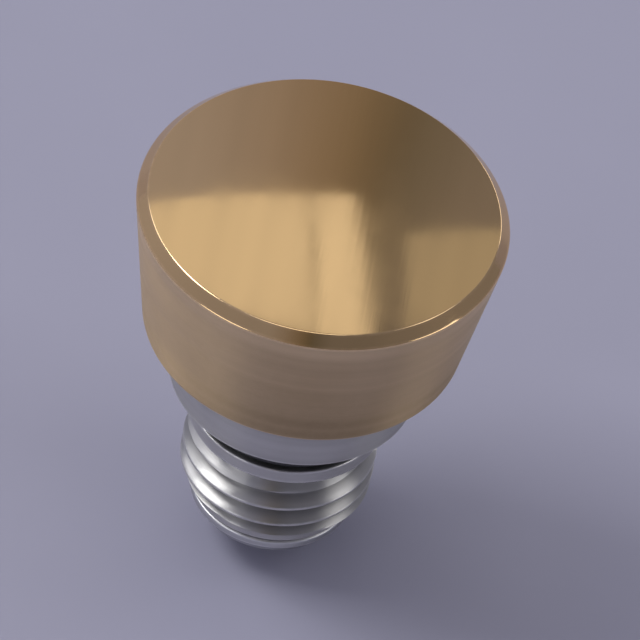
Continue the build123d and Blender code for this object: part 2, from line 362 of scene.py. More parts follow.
# %% [markdown]
# The shader itself stays in the material. Heights are real: a turning mark is a micrometre or so
# deep. Fine rings also stretch each highlight across them, which is why turned steel shows long
# streaks of light. The shader's anisotropy does that, with a tangent that runs round the axis and a
# quarter turn from it.

# %% The metal builder
HIGHLIGHT_STRETCH, QUARTER_TURN = 0.9, 0.25


def metal(
    name, colour, roughness, marks, fineness, depth, streaks, smudges, contrast=0.86, scratches=0.05
):
    """A metal finish. marks is the group of its making. Both depths are in micrometres."""
    material, tree, shader = new_material(name)
    place = own_place(tree)
    making = add_group(tree, marks, place, {1: fineness})
    handled = add_group(tree, HANDLING, place)
    edge = add_node(tree, "ShaderNodeAttribute", attribute_name="edge").outputs["Fac"]
    wear_and_shade = add_group(tree, EDGE_WEAR_AND_SHADE, place, {"Edge": edge})
    # Painted shade: the Dull mask darkens inner corners and the head's foot.
    dull = times(tree, wear_and_shade["Dull"], DULLNESS)
    layered = layer_colours(tree, colour, contrast, making["Streak"], wear_and_shade["Bright"], dull)
    layers = ((making["Streak"], streaks), (handled["Smudge"], smudges), (dull, DULL_ROUGHNESS))
    rough = add_up(tree, roughness, *layers)
    height = add_up(tree, 0.0, (making["Height"], depth), (handled["Scratch"], -scratches))
    dress(tree, shader, layered, rough, height)
    shader["Metallic"].default_value = 1.0
    if marks == TURNING_MARKS:
        shader["Anisotropic"].default_value = HIGHLIGHT_STRETCH
        shader["Anisotropic Rotation"].default_value = QUARTER_TURN
        round_axis = add_node(tree, "ShaderNodeTangent", direction_type="RADIAL", axis="Z")
        tree.links.new(round_axis.outputs[0], shader["Tangent"])
    return material


print("The metal builder is ready")

# %% [markdown]
# ## The alloys
# The head is plated with yellow gold. Its face is polished almost to a mirror, and its wall has a
# softer satin finish with fine rings, which looks paler and greyer. The tube and the core are
# turned stainless steel, the stem is ground, and the washers are tumbled until smooth. The spring
# and the clip are a darker spring steel. The bush is bearing bronze. The colours are those that the
# metals reflect, which is all that a metal shows. Each row of the table gives the colour, the
# roughness, the marks with their number in a millimetre and their depth, and what streaks and
# smudges add to the roughness. The last two, where they differ from the usual, are the contrast of
# the streaks and the depth of the scratches.

# %% Metals
GRAIN, RINGS = STRAIGHT_GRAIN, TURNING_MARKS
ALLOYS = {
    "polished_gold": ((0.84, 0.57, 0.29), 0.06, GRAIN, 15, 0.25, 0.05, 0.06, 0.93, 0.07),
    "satin_gold": ((0.79, 0.59, 0.36), 0.30, RINGS, 17, 1.20, 0.10, 0.06, 0.84, 0),
    "turned_steel": ((0.62, 0.61, 0.59), 0.26, RINGS, 15, 2.40, 0.12, 0.08, 0.74),
    "ground_steel": ((0.70, 0.70, 0.70), 0.14, RINGS, 40, 0.30, 0.06, 0.06),
    "washer_steel": ((0.66, 0.66, 0.65), 0.22, GRAIN, 16, 0.30, 0.10, 0.10),
    "spring_steel": ((0.50, 0.50, 0.51), 0.26, GRAIN, 22, 0.30, 0.12, 0.08),
    "bronze": ((0.64, 0.44, 0.27), 0.28, RINGS, 15, 1.60, 0.14, 0.10, 0.80),
}
FINISHES = {name: metal(name, *values) for name, values in ALLOYS.items()}
print("Metals:", ", ".join(FINISHES))

# %% [markdown]
# ## Rubber and plastic
# The gaskets are black nitrile rubber with a film of grease: a soft, dark surface with patches of
# wet shine. A coat layer, whose weight follows the smudges, gives the grease. The spacer is a waxy
# white bearing plastic. Light enters it a little, so it gets some subsurface scattering, and its
# turned face shows faint rings.

# %% Rubber and plastic
SMUDGES_PER_MM, RINGS_PER_MM = 1.6, 22.0
RING_ROUGHNESS, GREASE_ROUGHNESS = 0.10, 0.12
LIGHT_REACH = 0.2 * MM


def soft_material(name, colour, darker, roughness, coat, marks_depth, scatter):
    """Rubber or plastic: two shades that drift over the surface, a grease coat and fine marks."""
    material, tree, shader = new_material(name)
    place = own_place(tree)
    smudge = add_group(tree, HANDLING, place, {"Smudges per mm": SMUDGES_PER_MM})["Smudge"]
    making = add_group(tree, TURNING_MARKS, place, {"Rings per mm": RINGS_PER_MM})
    drift = blend_colours(tree, smudge, (*colour, 1), (*darker, 1))
    rough = add_up(tree, roughness, (making["Streak"], RING_ROUGHNESS))
    dress(tree, shader, drift, rough, times(tree, making["Height"], marks_depth))
    tree.links.new(times(tree, smudge, coat), shader["Coat Weight"])
    shader["Coat Roughness"].default_value = GREASE_ROUGHNESS
    shader["Subsurface Weight"].default_value = scatter
    shader["Subsurface Scale"].default_value = LIGHT_REACH
    return material


for name, values in {
    "black_rubber": ((0.022, 0.022, 0.025), (0.045, 0.045, 0.048), 0.42, 0.7, 0.5, 0.0),
    "white_plastic": ((0.86, 0.85, 0.82), (0.80, 0.79, 0.75), 0.38, 0.1, 0.7, 0.3),
}.items():
    FINISHES[name] = soft_material(name, *values)
    print("Soft finish:", name)

# %% [markdown]
# ## Outlines with rounded corners
# Nearly every piece of a pusher comes off a lathe, so it is an outline spun round the axis. No real
# edge is perfectly sharp: each has a small rounding that catches the light. A Bevel modifier could
# add them, but a different radius for each corner needs weights on every edge. It is simpler to
# round the outline before it is spun. The outline's corners are (radius, height, rounding) in
# millimetres, and they run with the solid on their left. A close row of points beside each rounding
# keeps the flat faces flat when they are smoothed.

# %% Rounding an outline
ROUND_STEPS = 5
SUPPORT, SUPPORT_SHARE = 0.03, 0.25


def rounded(corners):
    """Points (radius, height, edge) along an outline with true arcs at its corners."""
    count = len(corners)
    spots = [Vector(corner[:2]) for corner in corners]
    backs = [(spots[i - 1] - spots[i]).normalized() for i in range(count)]
    aheads = [(spots[(i + 1) % count] - spots[i]).normalized() for i in range(count)]
    reaches = [
        corner[2] / math.tan(back.angle(ahead) / 2) if corner[2] else 0.0
        for corner, back, ahead in zip(corners, backs, aheads)
    ]

    def support(i, neighbour, direction):
        """The point beside a rounding, on the straight run to the neighbour."""
        free = (spots[neighbour] - spots[i]).length - reaches[i] - reaches[neighbour]
        return (*(spots[i] + direction * (reaches[i] + min(SUPPORT, SUPPORT_SHARE * free))), 0.0)

    points = []
    for i, (corner, back, ahead) in enumerate(zip(corners, backs, aheads)):
        if not corner[2]:
            points.append((*spots[i], 0.0))
            continue
        half = back.angle(ahead) / 2
        bend = 1 if back.cross(ahead) < 0 else -1
        centre = spots[i] + (back + ahead).normalized() * corner[2] / math.sin(half)
        start = spots[i] + back * reaches[i] - centre
        points.append(support(i, i - 1, back))
        for step in range(ROUND_STEPS + 1):
            swept = bend * (math.pi - 2 * half) * step / ROUND_STEPS
            points.append((*(centre + Matrix.Rotation(swept, 2) @ start), float(bend)))
        points.append(support(i, (i + 1) % count, ahead))
    return points


sample = rounded(((1, 0, 0.1), (2, 0, 0.1), (2, 1, 0.1), (1, 1, 0.1)))
print("A square ring's outline with rounded corners has", len(sample), "points")

# %% [markdown]
# ## Winding a real thread
# The Screw modifier can wind a thread, and it can spin an outline too, but not both in one closed
# skin. So the points are placed one by one, in rings that climb by one pitch in each turn and
# follow the crest and the root exactly. The form lists places along one pitch, from 0 to 1, with
# their height from the root, 0, to the crest, 1. Points that would pass the thread's ends are held
# there, and merging them afterwards closes the skin. The ends are cut back by a cone, as a die or a
# tool leaves them. The thread also stores its marks: its crest is rubbed bright, and its root is
# darkened as painted shade.

# %% Threads
SEGMENTS = 180
FLANK = ((0.0, 0.0), (0.05, 0.0), (0.09, 0.03), (0.13, 0.11), (0.20, 0.31), (0.265, 0.505))
CREST = ((0.33, 0.70), (0.40, 0.90), (0.43, 0.97), (0.46, 1.0), (0.50, 1.0))
RISE = FLANK + CREST
THREAD_FORM = RISE + tuple((1 - turn, height) for turn, height in reversed(RISE[1:-1]))
SPARE_TURNS = 3
BRIGHT_FROM, ROOT_SHADE_SLOPE = 0.95, 1.6


def wind_thread(bm, edge, angles, low, high, end_radius, root, crest, pitch):
    """Adds a right-hand thread between two heights. Its rings climb by one pitch in each turn."""
    turns = math.ceil((high - low) / pitch) + SPARE_TURNS
    rows = [(turn + part, height) for turn in range(turns) for part, height in THREAD_FORM]
    columns = []
    for angle in angles:
        column = []
        for climb, height in rows:
            z = min(max(low + pitch * (climb - 1 + angle / FULL_TURN), low), high)
            form = root + height * (crest - root)
            cone = end_radius + min(z - low, high - z)
            radius = min(form, cone)
            vertex = bm.verts.new((radius * math.cos(angle), radius * math.sin(angle), z))
            if form < cone:
                # A root's dull number darkens it as painted shade, and a crest's bright number rubs
                # it bright.
                vertex[edge] = 1.0 if height > BRIGHT_FROM else min(0.0, ROOT_SHADE_SLOPE * height - 1.0)
            column.append(vertex)
        columns.append(column)
    columns.append(columns[0][len(THREAD_FORM) :])
    for left, right in zip(columns, columns[1:]):
        for corners in zip(left, right, right[1:], left[1:]):
            bm.faces.new(corners)


print("A thread has", len(THREAD_FORM), "rings in each pitch and", SEGMENTS, "points in each turn")

# %% [markdown]
# ## Spinning an outline
# Each point of an outline becomes a ring, and each ring is joined to the next by a band of faces. A
# point on the axis stays a single point, so the faces beside it are triangles. Where a thread
# belongs, it takes the place of the plain band between its two ends.

# %% Spinning
MERGE = 0.0002


def spin(outline, closed=True, extra_angles=(), thread=None):
    """Spins an outline round the Z axis into a skin. thread has what wind_thread needs, by name."""
    bm = bmesh.new()
    edge = bm.verts.layers.float.new("edge")
    angles = sorted([FULL_TURN * i / SEGMENTS for i in range(SEGMENTS)] + list(extra_angles))
    rings = []
    for radius, z, mark in outline:
        on_axis = radius < MERGE
        ring = []
        for angle in angles[: 1 if on_axis else None]:
            ring.append(bm.verts.new((radius * math.cos(angle), radius * math.sin(angle), z)))
            ring[-1][edge] = mark
        rings.append(ring * (len(angles) if on_axis else 1))
    followers = list(range(1, len(outline))) + ([0] if closed else [])
    for i, k in enumerate(followers):
        low, high = outline[i][1], outline[k][1]
        if thread and abs(low - thread["low"]) < MERGE and abs(high - thread["high"]) < MERGE:
            wind_thread(bm, edge, angles, **thread)
            continue
        for j in range(len(angles)):
            n = (j + 1) % len(angles)
            corners = dict.fromkeys((rings[i][j], rings[i][n], rings[k][n], rings[k][j]))
            if len(corners) > 2:
                bm.faces.new(tuple(corners))
    bmesh.ops.remove_doubles(bm, verts=bm.verts, dist=MERGE)
    return bm


print("Points nearer than", MERGE, "mm are merged")

# %% [markdown]
# ## From a skin to a piece
# A piece needs more than a shape. It rides on the CAD body that moves it, it takes the place of
# the CAD node, which is hidden, and it gets one of the finishes made above. Its faces are smoothed,
# except across sharp edges. The Weighted Normal modifier then lets the large faces decide how the
# light falls on them, which a polished part needs. The last line compares the piece's box with the
# node's, so a slip of the pen shows at once.

# %% Making a piece
SHARP_ANGLE = math.radians(34)


def add_object(name, data):
    """A new object in the scene."""
    made = bpy.data.objects.new(name, data)
    bpy.context.scene.collection.objects.link(made)
    return made


def smooth_mesh(bm, name, material):
    """A smooth mesh in metres, made from a skin in millimetres."""
    mesh = bpy.data.meshes.new(name)
    bm.to_mesh(mesh)
    bm.free()
    mesh.transform(Matrix.Scale(MM, 4))
    mesh.shade_smooth()
    mesh.materials.append(material)
    return mesh


def make_piece(bm, node, body, finish):
    """Turns a skin into a finished piece that stands for a CAD node."""
    mesh = smooth_mesh(bm, "fine_" + node, FINISHES[finish])
    mesh.set_sharp_from_angle(angle=SHARP_ANGLE)
    piece = add_object("fine_" + node, mesh)
    piece.modifiers.new("even_light", "WEIGHTED_NORMAL").keep_sharp = True
    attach(piece, body)
    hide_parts(node)
    own = [[pick(v.co[axis] for v in mesh.vertices) for axis in range(3)] for pick in (min, max)]
    off = max(abs(a - b) for mine, cad in zip(own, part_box(node)) for a, b in zip(mine, cad)) / MM
    print(f"{piece.name}: {len(mesh.polygons)} faces, box within {off:.3f} mm of the CAD node's")
    return piece


# %% [markdown]
# ## The head
# The head is what a wearer sees and feels. It is a thin gold-plated shell with a shallow dome, a
# narrow bevel round the rim and a wall that narrows to its foot. The dome has to be very smooth,
# because it mirrors the room, so it is a true arc in many rings. The shell is hollow, as the real
# one is, and its foot is rounded where it would catch on a cuff.

# %% Head cap
head_radius, dome_edge, foot_radius, bore_radius = 2.80, 2.64, 2.41, 2.115
dome_top, rim_height, rim_low, bore_top, foot_height = 3.93, 3.65, 3.49, 3.205, 1.05
dome_rise = dome_top - rim_height
dome_radius = (dome_edge**2 + dome_rise**2) / (2 * dome_rise)
DOME_RINGS = 48


def dome_height(radius):
    """Height of the dome above the point at this distance from the axis."""
    return dome_top - dome_radius + math.sqrt(dome_radius**2 - radius**2)


dome = [dome_edge * (1 - i / DOME_RINGS) for i in range(1, DOME_RINGS + 1)]
head_corners = (
    (0, bore_top, 0),
    (bore_radius, bore_top, 0.03),
    (bore_radius, foot_height, 0.03),
    (foot_radius, foot_height, 0.20),
    (head_radius, rim_low, 0.04),
    (dome_edge, rim_height, 0.035),
    *((radius, dome_height(radius), 0) for radius in dome),
)
head_skin = spin(rounded(head_corners), closed=False)
head = make_piece(head_skin, "head_cap", "button", "polished_gold")
print(f"The dome's radius is {dome_radius:.1f} mm")

# %% [markdown]
# A mesh may carry two materials: faces below the bevel get the satin finish, and the rest stays
# polished. The wall's lowest band is darkened with painted shade, so its points store a dull
# number instead of a bright one.

# %% The head's satin wall and the painted shade on its foot
bevel_low = rim_low - 0.005
shaded_foot_low, shaded_foot_high, shaded_foot_radius, foot_shade_amount = 1.06, 1.50, 2.42, 0.7
head.data.materials.append(FINISHES["satin_gold"])
for face in head.data.polygons:
    if face.center.z < bevel_low * MM:
        face.material_index = 1
wear_and_shade_marks = head.data.attributes["edge"].data
# Painted shade: points of the wall's lowest band get a dull number, which darkens them.
for vertex in head.data.vertices:
    if shaded_foot_low * MM < vertex.co.z < shaded_foot_high * MM and vertex.co.xy.length > shaded_foot_radius * MM:
        wear_and_shade_marks[vertex.index].value = -foot_shade_amount
print("Satin faces:", sum(face.material_index for face in head.data.polygons))

# %% [markdown]
# ## The core in the head
# A steel cup is pressed into the shell. Its sleeve slides over the tube's collar, and its boss
# takes the stem's thread. Only the sleeve's lower edge shows, as a thin grey ring inside the head's
# foot. Cylinders cut by Booleans would give the form, but with sharp edges and long thin faces, so
# the cup is spun from its outline as well.

# %% Head core
core_corners = (
    (0, 3.02, 0),
    (0.61, 3.02, 0.03),
    (0.61, 2.15, 0.03),
    (0.91, 2.15, 0.03),
    (0.91, 2.75, 0.04),
    (1.96, 2.75, 0.06),
    (1.96, 1.11, 0.03),
    (2.11, 1.11, 0.03),
    (2.11, 3.20, 0.04),
    (0, 3.20, 0),
)
make_piece(spin(rounded(core_corners), closed=False), "head_core", "button", "turned_steel")

# %% [markdown]
# ## The stem
# The stem is a ground rod. Its top is screwed into the core, and a shoulder with two flats lets a
# tool tighten it. Near its inner end is the groove for the clip, and its tip pushes the lever. The
# rod is spun with its thread, and the flats are then milled by moving the points that lie outside
# them. Extra columns of points at the flats' ends keep those edges straight.

# %% Stem
stem_thread = dict(low=2.26, high=2.86, end_radius=0.46, root=0.48, crest=0.60, pitch=0.25)
shoulder_radius, shoulder_low, shoulder_high, flat_distance = 0.75, 1.98, 2.14, 0.62
MARGIN = 0.01
stem_corners = (
    (0, -3.28, 0),
    (0.43, -3.28, 0.03),
    (0.55, -3.16, 0.03),
    (0.55, -2.78, 0.015),
    (0.40, -2.78, 0.015),
    (0.40, -2.58, 0.015),
    (0.55, -2.58, 0.015),
    (0.55, shoulder_low, 0.02),
    (shoulder_radius, shoulder_low, 0.02),
    (shoulder_radius, shoulder_high, 0.02),
    (0.46, shoulder_high, 0.02),
    (0.46, stem_thread["low"], 0),
    (0.46, stem_thread["high"], 0),
    (0.46, 2.94, 0.03),
    (0, 2.94, 0),
)
flat_end = math.asin(flat_distance / shoulder_radius)
flat_ends = [flat_end, math.pi - flat_end, math.pi + flat_end, FULL_TURN - flat_end]
stem_outline = rounded(stem_corners)
stem_skin = spin(stem_outline, closed=False, extra_angles=flat_ends, thread=stem_thread)
for vertex in stem_skin.verts:
    on_shoulder = shoulder_low - MARGIN < vertex.co.z < shoulder_high + MARGIN
    if on_shoulder and abs(vertex.co.y) > flat_distance:
        vertex.co.y = math.copysign(flat_distance, vertex.co.y)
bmesh.ops.dissolve_degenerate(stem_skin, dist=MERGE, edges=stem_skin.edges)
make_piece(stem_skin, "stem", "button", "ground_steel")

# %% [markdown]
# ## The threaded tube
# The tube holds everything to the watch case. Under its collar is a plain pilot with a groove for
# the case gasket, then a short relief and the thread. A close ring above and below the thread keeps
# the shading of the plain parts out of it. The collar's outside carries the skirt gasket. Inside
# are the spring chamber and a long bore for the gaskets.

# %% The tube's outline
relief_radius, chamber_radius = 1.27, 1.35
THREAD_SUPPORT = 0.012
tube_thread = dict(
    low=-2.23, high=-1.03, end_radius=relief_radius, root=1.29, crest=1.48, pitch=0.35
)
tube_corners = (
    (0.60, -2.41, 0.03),
    (1.21, -2.41, 0.02),
    (relief_radius, -2.35, 0.02),
    (relief_radius, tube_thread["low"] - THREAD_SUPPORT, 0),
    (relief_radius, tube_thread["low"], 0),
    (relief_radius, tube_thread["high"], 0),
    (relief_radius, tube_thread["high"] + THREAD_SUPPORT, 0),
    (relief_radius, -0.83, 0.03),
    (1.50, -0.83, 0.04),
    (1.50, -0.57, 0.02),
    (1.17, -0.57, 0.04),
    (1.17, -0.22, 0.04),
    (1.50, -0.22, 0.02),
    (1.50, 0, 0.03),
    (1.89, 0, 0.03),
    (1.89, 1.34, 0.02),
    (1.64, 1.34, 0.04),
    (1.64, 1.68, 0.04),
    (1.89, 1.68, 0.02),
    (1.89, 1.74, 0.02),
    (1.81, 1.82, 0.02),
    (chamber_radius, 1.82, 0.02),
    (chamber_radius, 1.27, 0),
    (chamber_radius, 1.265, 0),
    (chamber_radius, 0.30, 0.03),
    (0.95, 0.30, 0.02),
    (0.95, -2.06, 0.03),
    (0.60, -2.06, 0.02),
)
print("The tube's outline has", len(tube_corners), "corners")

# %% [markdown]
# Six splines in the chamber's mouth take the tool that screws the tube in. They are cut like the
# stem's flats: points of the chamber's wall that fall inside a slot move out to its floor. Two
# columns of points, a hair apart, stand at each side of a slot. One of them moves and the other
# stays, so the slot's sides are upright.

# %% Guide tube
SPLINES, HAIR = 6, 0.0004
spline_floor, spline_half, spline_low, mouth_radius = 1.47, 0.21, 1.268, 1.41
spline_step = 360 / SPLINES
spline_edge = math.asin(spline_half / chamber_radius)
spline_angles = [
    (math.radians(spline_step * i) + side * (spline_edge + off)) % FULL_TURN
    for i in range(SPLINES)
    for side in (-1, 1)
    for off in (-HAIR, HAIR)
]
tube_skin = spin(rounded(tube_corners), extra_angles=spline_angles, thread=tube_thread)
for vertex in tube_skin.verts:
    radius = vertex.co.xy.length
    if vertex.co.z > spline_low and radius < mouth_radius:
        direction = math.degrees(math.atan2(vertex.co.y, vertex.co.x))
        spline = math.radians(spline_step * round(direction / spline_step))
        place = Matrix.Rotation(-spline, 2) @ vertex.co.xy
        if abs(math.atan2(place.y, place.x)) < spline_edge:
            place.x = spline_floor + (radius - chamber_radius)
            vertex.co.xy = Matrix.Rotation(spline, 2) @ place
make_piece(tube_skin, "guide_tube", "tube_body", "turned_steel")

# %% [markdown]
# ## Flat rings
# The stop washer and the retainer are stamped and tumbled, so their edges are soft. The plastic
# spacer is cut from a rod. All three are a rectangle spun round the axis and differ only in their
# numbers, so one function draws the outline, and a loop goes through a table.

# %% Washer, retainer and spacer
RING_BORE = 0.60


def ring_outline(outer, low, high, rounding):
    """A flat ring's outline with one rounding for all its edges."""
    corners = ((RING_BORE, low), (outer, low), (outer, high), (RING_BORE, high))
    return rounded([(*corner, rounding) for corner in corners])


for node, ring, body, finish in (
    ("stop_washer", (1.25, -2.57, -2.42, 0.035), "button", "washer_steel"),
    ("gasket_retainer", (1.345, 0.30, 0.50, 0.035), "tube_body", "washer_steel"),
    ("gasket_spacer", (0.94, -0.45, -0.10, 0.03), "tube_body", "white_plastic"),
):
    make_piece(spin(ring_outline(*ring)), node, body, finish)

# %% [markdown]
# ## The spring's cap and the bush
# The spring's cap is a small hat: its flange carries the spring, and its hub keeps the spring off
# the boss. The bush has larger chamfers outside, which let it enter the bore. Their outlines have
# more corners than a ring's, each with its own rounding, so they are written out.

# %% Spring cap and guide bush
cap_corners = (
    (0.94, 2.44, 0.015),
    (1.02, 2.44, 0.02),
    (1.02, 2.62, 0.02),
    (1.25, 2.62, 0.03),
    (1.25, 2.74, 0.03),
    (0.94, 2.74, 0.02),
)
bush_corners = (
    (0.565, -2.05, 0.02),
    (0.86, -2.05, 0.015),
    (0.94, -1.97, 0.015),
    (0.94, -0.93, 0.015),
    (0.86, -0.85, 0.015),
    (0.565, -0.85, 0.02),
)
make_piece(spin(rounded(cap_corners)), "spring_cap", "spring_seat", "washer_steel")
make_piece(spin(rounded(bush_corners)), "guide_bush", "tube_body", "bronze")

# %% [markdown]
# ## The gaskets
# An O-ring is a ring with a round section, and a torus primitive would do for a distant view. A
# moulded one has a fine flash line where the two halves of its mould met, so its section gets a
# very low ridge on the inside and the outside. The ridge is lower than the gap to the metal.

# %% Gaskets
FLASH_HEIGHT = 0.006
FLASH_WIDTH = 0.05
SECTION_POINTS = 48


def gasket_outline(inner, section, middle):
    """A round section with a fine ridge at its inmost and outmost points."""
    points = []
    for i in range(SECTION_POINTS):
        angle = FULL_TURN * (i + 0.5) / SECTION_POINTS
        above = abs(math.sin(angle)) * section / 2
        ridge = FLASH_HEIGHT * max(0.0, 1 - above / FLASH_WIDTH)
        radius = section / 2 + ridge
        across = inner + section / 2 + radius * math.cos(angle)
        points.append((across, middle + radius * math.sin(angle), 0.0))
    return points


for node, inner, section, middle in (
    ("stem_gasket_upper", 0.56, 0.38, 0.10),
    ("stem_gasket_lower", 0.56, 0.38, -0.65),
    ("skirt_gasket", 1.65, 0.30, 1.51),
    ("case_gasket", 1.18, 0.31, -0.395),
):
    make_piece(spin(gasket_outline(inner, section, middle)), node, "tube_body", "black_rubber")

# %% [markdown]
# ## The retaining clip
# The clip is stamped from thin spring steel: an open band with three prongs that reach into the
# stem's groove. Its outline is drawn in the plane, with rounded corners in it, and then raised.

# %% Clip outline
CLIP_OUTER, CLIP_INNER, PRONG_TIP, PRONG_HALF, MOUTH_HALF = 1.10, 0.84, 0.41, 0.18, 0.45
PRONG_ANGLES = (292, 180, 68)
CLIP_CORNER = 0.03
ARC_STEP = 0.07


def arc(radius, start, end):
    """Points on an arc round the axis, from one angle to another, in degrees."""
    count = max(1, round(math.radians(abs(end - start)) * radius / ARC_STEP))
    angles = [math.radians(start + (end - start) * i / count) for i in range(count + 1)]
    return [[radius * math.cos(angle), radius * math.sin(angle), 0.0] for angle in angles]


def clip_corners():
    """The clip's outline, anticlockwise: the outer arc, one end, the inner arcs and the prongs."""
    mouth_outer = math.degrees(math.asin(MOUTH_HALF / CLIP_OUTER))
    mouth_inner = math.degrees(math.asin(MOUTH_HALF / CLIP_INNER))
    root = math.degrees(math.asin(PRONG_HALF / CLIP_INNER))
    tip = math.degrees(math.asin(PRONG_HALF / PRONG_TIP))
    runs = [arc(CLIP_OUTER, mouth_outer, 360 - mouth_outer)]
    angle = 360 - mouth_inner
    for prong in PRONG_ANGLES:
        runs.append(arc(CLIP_INNER, angle, prong + root))
        runs.append(arc(PRONG_TIP, prong + tip, prong - tip))
        angle = prong - root
    runs.append(arc(CLIP_INNER, angle, mouth_inner))
    for run in runs:
        run[0][2] = run[-1][2] = CLIP_CORNER
    return [point for run in runs for point in run]


clip_points = [Vector(point[:2]) for point in rounded(clip_corners())]
print("The clip's outline has", len(clip_points), "points")

# %% [markdown]
# A stamped edge is rolled on both sides, so the outline is drawn a little smaller at the top and
# the bottom. Moving each point along its own inward direction does that. The outlines are stacked
# into rings: small at the bottom face, full through the thickness and small again at the top.


# %% Rings of the clip
def inward(points, distance):
    """The outline moved inwards by a distance, each point along its own direction."""
    moved = []
    for i, point in enumerate(points):
        behind, ahead = point - points[i - 1], points[(i + 1) % len(points)] - point
        along = (behind.normalized() + ahead.normalized()).normalized()
        moved.append(point + Vector((-along.y, along.x)) * distance)
    return moved


clip_low, clip_high, clip_roll = -2.77, -2.59, 0.02
ROLL_STEPS, ROLLED_SHARE = 4, 0.3
levels = []
for step in range(ROLL_STEPS + 1):
    angle = math.pi / 2 * step / ROLL_STEPS
    levels.append((clip_low + clip_roll * (1 - math.sin(angle)), clip_roll * (1 - math.cos(angle))))
levels = levels[::-1] + [(clip_low + clip_high - z, inset) for z, inset in levels]
clip_skin = bmesh.new()
clip_edge = clip_skin.verts.layers.float.new("edge")
clip_rings = []
for z, inset in levels:
    ring = [clip_skin.verts.new((*point, z)) for point in inward(clip_points, inset)]
    for vertex in ring:
        vertex[clip_edge] = 1.0 if inset > ROLLED_SHARE * clip_roll else 0.0
    clip_rings.append(ring)
print("The clip has", len(clip_rings), "rings of points")

# %% [markdown]
# The rings are joined into walls. The two faces are filled with triangles, because they are far
# from convex. The filling has to know which way a face looks, so the normals are worked out first.

# %% Retaining clip
for lower, upper in zip(clip_rings, clip_rings[1:]):
    for i, vertex in enumerate(lower):
        clip_skin.faces.new((lower[i - 1], vertex, upper[i], upper[i - 1]))
clip_faces = [clip_skin.faces.new(clip_rings[0][::-1]), clip_skin.faces.new(clip_rings[-1])]
clip_skin.normal_update()
bmesh.ops.triangulate(clip_skin, faces=clip_faces)
bmesh.ops.remove_doubles(clip_skin, verts=clip_skin.verts, dist=MERGE)
make_piece(clip_skin, "retaining_clip", "button", "spring_steel")

# %% [markdown]
# ## The return spring
# The spring is wound from hard wire. Its end turns are closed, that is, wound with almost no climb,
# and ground flat, so that it stands square. First comes the height of the wire's middle at each
# step. The climb of the middle turns is worked out from what the end turns leave of the length.

# %% The wire's path
WIRE, COIL_RADIUS, TURNS = 0.20, 1.15, 3.5
spring_low, spring_high = 0.51, 2.61
END_CLIMB, CLOSED_TURNS, CHANGING_TURNS = 0.21, 0.6, 0.4
STEPS_PER_TURN = 90


def spring_climb(turn):
    """How steeply the wire climbs after this many turns, as a share between end and middle."""
    from_end = min(turn, TURNS - turn)
    share = min(max((from_end - CLOSED_TURNS) / CHANGING_TURNS, 0.0), 1.0)
    return share * share * (3 - 2 * share)


steps = round(TURNS * STEPS_PER_TURN)
shares = [spring_climb((i + 0.5) / STEPS_PER_TURN) for i in range(steps)]
end_part = END_CLIMB * sum(1 - share for share in shares)
middle_climb = ((spring_high - spring_low) * STEPS_PER_TURN - end_part) / sum(shares)
heights = [spring_low]
for share in shares:
    climb = END_CLIMB + (middle_climb - END_CLIMB) * share
    heights.append(heights[-1] + climb / STEPS_PER_TURN)
print(f"The middle turns climb {middle_climb:.2f} mm each")

# %% [markdown]
# A curve with a round bevel would give the wire, but not the ground ends. So circles of points are
# set along the path, and the points below or above the ground planes are moved onto them. The real
# spring shortens when the button is pressed.

# %% Return spring
WIRE_POINTS = 20


def wire_circle(step):
    """Points round the wire at one step along its path, held between the ground planes."""
    turn = FULL_TURN * step / STEPS_PER_TURN
    before, after = max(step - 1, 0), min(step + 1, steps)
    slope = (heights[after] - heights[before]) * STEPS_PER_TURN / (after - before)
    lean = math.atan2(slope, FULL_TURN * COIL_RADIUS)
    out = Vector((math.cos(turn), math.sin(turn), 0))
    round_axis = Vector((-math.sin(turn), math.cos(turn), 0))
    up = Vector((0, 0, math.cos(lean))) - round_axis * math.sin(lean)
    spots = []
    for i in range(WIRE_POINTS):
        angle = FULL_TURN * i / WIRE_POINTS
        spot = out * (COIL_RADIUS + WIRE / 2 * math.cos(angle)) + up * (WIRE / 2 * math.sin(angle))
        spot.z = min(max(spot.z + heights[step], spring_low), spring_high)
        spots.append(spot)
    return spots


spring_skin = bmesh.new()
circles = [[spring_skin.verts.new(spot) for spot in wire_circle(step)] for step in range(steps + 1)]
for near, far in zip(circles, circles[1:]):
    for i, vertex in enumerate(near):
        spring_skin.faces.new((near[i - 1], far[i - 1], far[i], vertex))
spring_skin.faces.new(circles[0])
spring_skin.faces.new(circles[-1][::-1])
bmesh.ops.recalc_face_normals(spring_skin, faces=spring_skin.faces)
spring = make_piece(spring_skin, "return_spring", "tube_body", "spring_steel")
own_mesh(spring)

# %% [markdown]
# ## The floor
# The pusher stands on a plain pale floor. The floor curves up at its edge like the paper sweep of a
# photographer's table, so that low views end in the same pale tone and polished metal mirrors it
# all round. It has a very faint mottle, because a perfectly even surface looks unreal. When the
# button is pressed, the stem's tip comes out below the tube. The floor rides on the same body, so
# the pusher stands on its tip at every pose.

# %% Floor
FLOOR_COLOUR = (0.43, 0.425, 0.535)
MOTTLE_SHADE, MOTTLES_PER_METRE = 0.96, 180.0
FLOOR_ROUGHNESS, FLOOR_SHINE = 0.75, 0.2
FLOOR_RADIUS, FLOOR_RIM, FLOOR_CURVE = 340.0, 45.0, 120


def floor_material():
    """A matt, pale grey with a breath of lavender and a faint mottle."""
    material, tree, shader = new_material("pale_floor")
    noise = add_noise(tree, own_place(tree), MOTTLES_PER_METRE, 3.0)
    mottle = rescale(tree, noise, *NOISE_RANGE)
    darker = [MOTTLE_SHADE * part for part in FLOOR_COLOUR]
    colour = blend_colours(tree, mottle, (*FLOOR_COLOUR, 1), (*darker, 1))
    tree.links.new(colour, shader["Base Color"])
    shader["Roughness"].default_value = FLOOR_ROUGHNESS
    shader["Specular IOR Level"].default_value = FLOOR_SHINE
    return material


